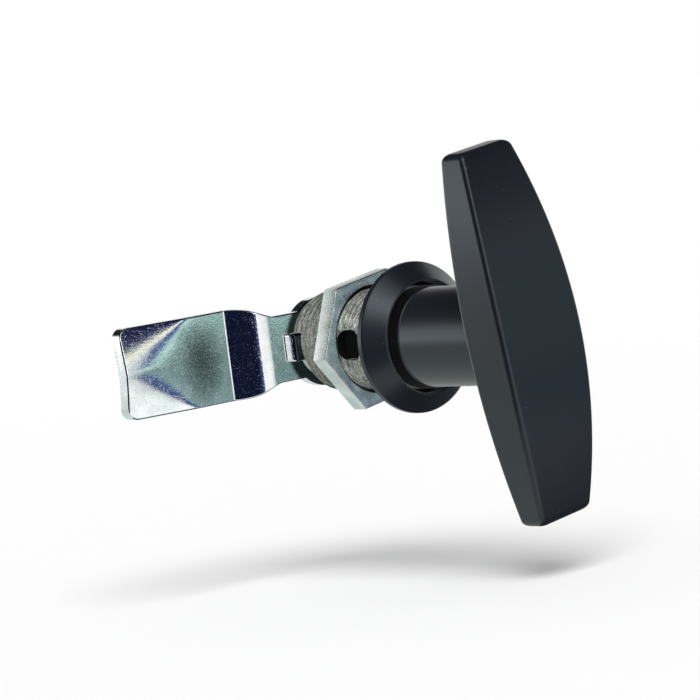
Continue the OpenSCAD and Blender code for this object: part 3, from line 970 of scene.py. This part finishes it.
def cam_painted_shade(coords, speckle):
    """Share of painted dark on the front: a painted reflection on the tip, painted shade on the hub and the
    lug's end.

    The spot is an ellipse, the hub a circle about the axis, and the speckle breaks up the edges of both.
    """
    x, y, z = (coords.axis(number) for number in range(3))
    a = (x - DARK_SPOT_AT[0] * MM) * (1 / (DARK_SPOT_SIZE[0] * MM))
    b = (z - DARK_SPOT_AT[1] * MM) * (1 / (DARK_SPOT_SIZE[1] * MM))
    dark_spot = ((a * a + b * b) * 0.25 + speckle * 0.6).ramp((0.25, 0.8), (0.65, 0))
    flat = coords.stretched((1, 0, 1))
    radius = flat.node("ShaderNodeVectorMath", {"operation": "LENGTH"}, {0: flat}, output=1)
    hub_shade_from, hub_shade_to = HUB_SHADE_R * RAMP_PER_MM, (HUB_SHADE_R + HUB_SHADE_FADE) * RAMP_PER_MM
    hub_shade = (radius * (RAMP_PER_MM / MM) + speckle * 0.05).ramp((hub_shade_from, SHADE_SHARE), (hub_shade_to, 0))
    on_tip = between(y, CAM_AT + CAM_T, CAM_AT + CRANK_STEP + CAM_T - 0.5)
    on_hub = between(y, CAM_AT - 0.05, CAM_AT + 0.4)
    on_lug = between(y, CAM_AT - LUG_H - 0.1, CAM_AT - LUG_H + LUG_EDGE * 0.6)
    return dark_spot * on_tip + hub_shade * on_hub + on_lug * SHADE_SHARE


cam.data.materials.append(zinc_plate("cam_zinc_plate", 0.04, 0.011, 1.0, shade_pattern=cam_painted_shade))
seat(cam, "rotor", "plated_steel", "cam")

# %% [markdown]
# ## Screw and washers
# Behind the cam sit a flat washer, a slit spring washer and a hexagon screw. The screw head is the smaller
# of a hexagon and a cone, which gives the curved chamfer of a turned head. The spring washer is a flat
# section carried round almost one turn. It lies level, as it does once the screw is tight.

# %% Screw
screw_low, screw_high = corners_mm("cam_screw")
lock_low, lock_high = corners_mm("lock_washer")
SCREW_R = 3
SCREW_POINT = 0.5
HEAD_AF = 2 * screw_high[2]
HEAD_H = screw_high[1] - lock_high[1]
HEAD_FACE_R = HEAD_AF / 2 * 0.97
HEAD_UNDER_R = HEAD_AF * 0.57
HEAD_UNDER_H = 0.15
END_GUARD = 0.96


def screw_points():
    """Shank, then a head whose radius is the smaller of hexagon and chamfer cone."""
    angle = whole_turn(6 * SIDE_STEPS)
    rise = np.concatenate([[0], np.linspace(HEAD_UNDER_H, HEAD_H, 26)])
    cone = HEAD_FACE_R + (HEAD_H - rise) / np.tan(np.pi / 6)
    cone = np.where(rise == 0, HEAD_UNDER_R, cone)
    head = np.minimum(hexagon(angle, HEAD_AF / 2), cone[:, None])
    end_face = head[-1:] * np.array([[END_GUARD], [0]])
    shank = np.array([0, SCREW_R - SCREW_POINT, SCREW_R, SCREW_R])[:, None]
    shank_depth = [screw_low[1], screw_low[1], screw_low[1] + SCREW_POINT, lock_high[1]]
    radius = np.concatenate([np.broadcast_to(shank, (4, len(angle))), head, end_face])
    depth = np.concatenate([shank_depth, lock_high[1] + rise, [screw_high[1]] * 2])
    return about_axis(radius, angle, depth[:, None])


screw = make_piece("cam_screw_plated", screw_points())
print("screw", screw.dimensions)

# %% Washers
washer_low, washer_high = corners_mm("flat_washer")
WASHER_BORE_R = 3.03
LOCK_R = lock_high[2]
LOCK_SLIT = 1.0
LOCK_EDGE = 0.15


def ring_section(inner, outer, front, back, inner_edge, outer_edge):
    """Rounded section of a washer as (radius, depth) points."""
    return rounded([
        (inner, front, inner_edge), (outer, front, outer_edge),
        (outer, back, outer_edge), (inner, back, inner_edge),
    ])


def lock_points():
    """Rounded section carried round from one lip of the slit to the other."""
    half = np.arcsin(LOCK_SLIT / 2 / LOCK_R)
    angle = np.linspace(half, 2 * np.pi - half, 90)[:, None]
    section = ring_section(WASHER_BORE_R, LOCK_R, lock_low[1], lock_high[1], LOCK_EDGE, LOCK_EDGE)
    return about_axis(section[:, 0], angle, section[:, 1])


washer_section = ring_section(WASHER_BORE_R, washer_high[0], washer_low[1], washer_high[1], 0.1, 0.25)
flat_washer = make_piece("flat_washer_plated", turned(washer_section, 96), ring=True)
lock_washer = make_piece("lock_washer_plated", lock_points())
fastener_zinc = zinc_plate("fastener_zinc_plate", 0.22, 0.006, 0.4)
for piece, node in ((screw, "cam_screw"), (flat_washer, "flat_washer"), (lock_washer, "lock_washer")):
    piece.data.materials.append(fastener_zinc)
    seat(piece, "rotor", "plated_steel", node)

# %% [markdown]
# ## The pieces inside
# Spindle, cross pin, disc spring, seal and thrust washer keep their CAD shapes, because hardly any of them
# shows. They still get real finishes: turned steel with rings from the tool, matt rubber and waxy plastic.

# %% Inner finishes
def turned_steel():
    """Steel with fine rings along Y from turning."""
    material, coords = new_finish("turned_steel")
    rings = coords.stretched((0.02, 1, 0.02)).noise(9, 2)
    colour = coords.noise(0.5, 2).ramp((0.3, (0.36, 0.36, 0.355)), (0.7, (0.5, 0.5, 0.49)))
    return set_surface(
        material, Base_Color=colour, Metallic=1.0,
        Roughness=0.28 + rings * 0.15, Normal=rings.bump(0.006, 0.5),
    )


def moulded(name, dark, light, roughness, grain_mm):
    """Moulded rubber or plastic: a slow change of tone and a fine grain."""
    material, coords = new_finish(name)
    grain = coords.noise(5, 2)
    colour = coords.noise(0.4, 2).ramp((0.3, dark), (0.7, light))
    return set_surface(
        material, Base_Color=colour, Roughness=roughness + grain * 0.12, Normal=grain.bump(grain_mm, 0.5),
    )


steel = turned_steel()
inner = {node: steel for node in ("spindle", "cross_pin", "disc_spring")}
inner["stem_seal"] = moulded("seal_rubber", (0.012, 0.012, 0.012), (0.022, 0.022, 0.021), 0.55, 0.01)
inner["thrust_washer"] = moulded("washer_plastic", (0.02, 0.02, 0.021), (0.03, 0.03, 0.031), 0.4, 0.006)
for node, finish in inner.items():
    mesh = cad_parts[node].data
    mesh.materials.clear()
    mesh.materials.append(finish)
print("inner finishes", list(inner))

# %% [markdown]
# ## Floor and light
# The photograph has a white ground and soft light from the upper left. One wide sun and a calm white world
# light the floor evenly, so it is white up to the horizon and still keeps the shadow. Where the camera and
# mirrors look, the world is plain white. Mirrors see it in place of the floor too, which is as white.

# %% Floor
FLOOR_AT = -52
FLOOR_SIZE = 6000
FLOOR_COLOUR = (0.95, 0.95, 0.95)
FLOOR_ROUGHNESS = 0.9


def sheet_object(name, middle, facing, width, height):
    """Flat rectangle that faces a direction, with its width level."""
    facing = unit(facing)
    across = unit(np.cross([0, 0, 1] if abs(facing[2]) < 0.99 else [0, 1, 0], facing))
    upward = np.cross(facing, across)
    corners = np.array([[-1, -1], [1, -1], [1, 1], [-1, 1]]) / 2 * [width, height]
    points = np.asarray(middle) + corners[:, :1] * across + corners[:, 1:] * upward
    mesh = bpy.data.meshes.new(name)
    mesh.from_pydata((points * MM).tolist(), [], [[0, 1, 2, 3]])
    sheet = bpy.data.objects.new(name, mesh)
    bpy.context.collection.objects.link(sheet)
    return sheet


floor = sheet_object("floor", (0, 0, FLOOR_AT), (0, 0, 1), FLOOR_SIZE, FLOOR_SIZE)
floor_finish, _ = new_finish("pale_floor")
set_surface(floor_finish, Base_Color=FLOOR_COLOUR, Roughness=FLOOR_ROUGHNESS)
floor.data.materials.append(floor_finish)
floor.visible_glossy = False
print("floor at", FLOOR_AT, "mm")

# %% World and sun
WORLD_LIGHT = 0.5
SUN_FROM = (-0.35, -0.5, 0.8)
SUN_SPREAD = np.radians(36)
SUN_POWER = 2.25


def white_to_the_eye(wire, calm):
    """Strength 1 for camera, mirror and glass rays, and a calmer strength for light."""
    path = wire.node("ShaderNodeLightPath")
    seen = path
    for key in ("Is Glossy Ray", "Is Transmission Ray"):
        other = Wire(path.socket.node.outputs[key])
        seen = wire.node("ShaderNodeMath", {"operation": "MAXIMUM"}, {0: seen, 1: other})
    return seen * (1 - calm) + calm


world = bpy.data.worlds.new("studio")
bpy.context.scene.world = world
world.use_nodes = True
background = world.node_tree.nodes["Background"]
background.inputs["Color"].default_value = (1, 1, 1, 1)
strength = white_to_the_eye(Wire(background.outputs[0]), WORLD_LIGHT)
world.node_tree.links.new(strength.socket, background.inputs["Strength"])

sun = bpy.data.objects.new("sun", bpy.data.lights.new("sun", "SUN"))
sun.data.energy = SUN_POWER
sun.data.angle = SUN_SPREAD
sun.rotation_euler = (-Vector(SUN_FROM)).to_track_quat("-Z", "Y").to_euler()
bpy.context.collection.objects.link(sun)
print("sun", SUN_POWER, "world", WORLD_LIGHT)

# %% [markdown]
# ## Cards for the mirrors
# Shiny zinc in an all-white room would look like paper. As in a product studio, cards stand outside the
# picture, and only mirrors see them: a dark ceiling and a dark card below, a soft box at the back left that
# draws the highlight along the stem, a navy card on the left that darkens the crank, a white card and a
# strip light in front that draw the edges of the black castings, pale cards low down for the nut and the
# lower ramp, and two screens on the right that show in the tip of the cam. The colours of the screens
# change with height, so each fold of the tip picks another one: teal for the flat, then blue, cream and
# navy for the corner that looks up. Handle, housing, nut, cam and the inner pieces are kept out of the
# mirrors, so that the plate shows the cards alone.

# %% Banded cards
NAVY = (0.008, 0.01, 0.035)
TEAL = (0.16, 0.25, 0.24)
LIGHT_TEAL = (0.78, 1.06, 0.98)
BLUE = (0.06, 0.1, 0.32)
CREAM = (1.4, 1.34, 1.14)
SOFT_WHITE = (2.0, 2.05, 2.1)
LEFT_BANDS = (
    (-523, (0.3, 0.35, 0.52)), (-470, (0.08, 0.1, 0.27)), (-390, (0.02, 0.025, 0.08)), (-280, NAVY),
)
LOW_BANDS = (
    (-170, (0.05, 0.08, 0.25)), (-105, (0.08, 0.13, 0.32)), (-84, (0.46, 0.64, 0.6)),
    (-62, (0.15, 0.235, 0.23)), (-46, TEAL), (-30, LIGHT_TEAL), (-10, LIGHT_TEAL),
    (4, (0.16, 0.26, 0.5)), (40, BLUE), (74, BLUE),
)
HIGH_BANDS = ((78, CREAM), (106, CREAM), (118, (0.03, 0.04, 0.16)), (180, NAVY))
SOFT_BANDS = ((-24, (3.2, 3.3, 3.4)), (40, (3.0, 3.1, 3.2)), (80, SOFT_WHITE), (196, SOFT_WHITE))


def banded(coords, bands, axis):
    """Colour by place along an axis from (place in mm, colour) bands.

    It is a ramp of (place - low) / (high - low), with the bands' places on the same scale.
    """
    low, high = bands[0][0], bands[-1][0]
    level = (coords.axis(axis) - low * MM) * (1 / ((high - low) * MM))
    return level.ramp(*(((at - low) / (high - low), colour) for at, colour in bands))


print("bands", len(LEFT_BANDS), len(LOW_BANDS), len(HIGH_BANDS), len(SOFT_BANDS))

# %% Cards
CARD_AWAY = 620
STRIP_AWAY = 600
NEAR_AWAY = 420
LEFT_AWAY = 380


def card(name, bearing, rise, away, size, colour, axis=2):
    """Card that only mirrors see. Its bearing runs from the front (0) to the right (90), in degrees."""
    bearing, rise = np.radians(bearing), np.radians(rise)
    level = np.cos(rise)
    way = np.array([np.sin(bearing) * level, -np.cos(bearing) * level, np.sin(rise)])
    sheet = sheet_object(name, way * away, -way, *size)
    material, coords = new_finish(name)
    plain = not isinstance(colour[0], tuple)
    shown = (*colour, 1) if plain else banded(coords, colour, axis)
    glow = coords.node("ShaderNodeEmission", {}, {"Color": shown})
    tree = material.node_tree
    tree.links.new(glow.socket, tree.nodes["Material Output"].inputs["Surface"])
    sheet.data.materials.append(material)
    for ray in ("camera", "diffuse", "shadow", "transmission"):
        setattr(sheet, "visible_" + ray, False)


card("left_card", -77, 2, LEFT_AWAY, (900, 620), LEFT_BANDS, axis=1)
card("front_card", -9, -4, CARD_AWAY, (500, 380), (1.33, 1.25, 1.26))
card("strip_light", -24, 20, STRIP_AWAY, (70, 900), (6.0, 6.1, 6.2))
card("low_screen", 51, -4.5, CARD_AWAY, (640, 246), LOW_BANDS)
card("low_card", 25, -31, CARD_AWAY, (320, 280), (1.35, 1.35, 1.35))
card("high_screen", 40, 23, CARD_AWAY, (900, 360), HIGH_BANDS)
card("ceiling_card", 180, 84, NEAR_AWAY, (1200, 1200), (0.015, 0.018, 0.025))
card("soft_box", -142, 8, CARD_AWAY, (420, 220), SOFT_BANDS)
card("back_card", 172, -32, CARD_AWAY, (1500, 440), (0.8, 0.86, 0.85))
card("under_card", 85, -60, NEAR_AWAY, (760, 760), (0.09, 0.1, 0.11))
unmirrored = [grip, housing, nut, cam] + [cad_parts[node] for node in inner]
for piece in unmirrored:
    piece.visible_glossy = False
print("kept out of the mirrors", [piece.name for piece in unmirrored])

# %% [markdown]
# ## The last line
# The picture keeps the Standard view transform. The finished pieces have to keep close to the CAD
# box.

# %% Finish
bpy.context.scene.view_settings.view_transform = "Standard"
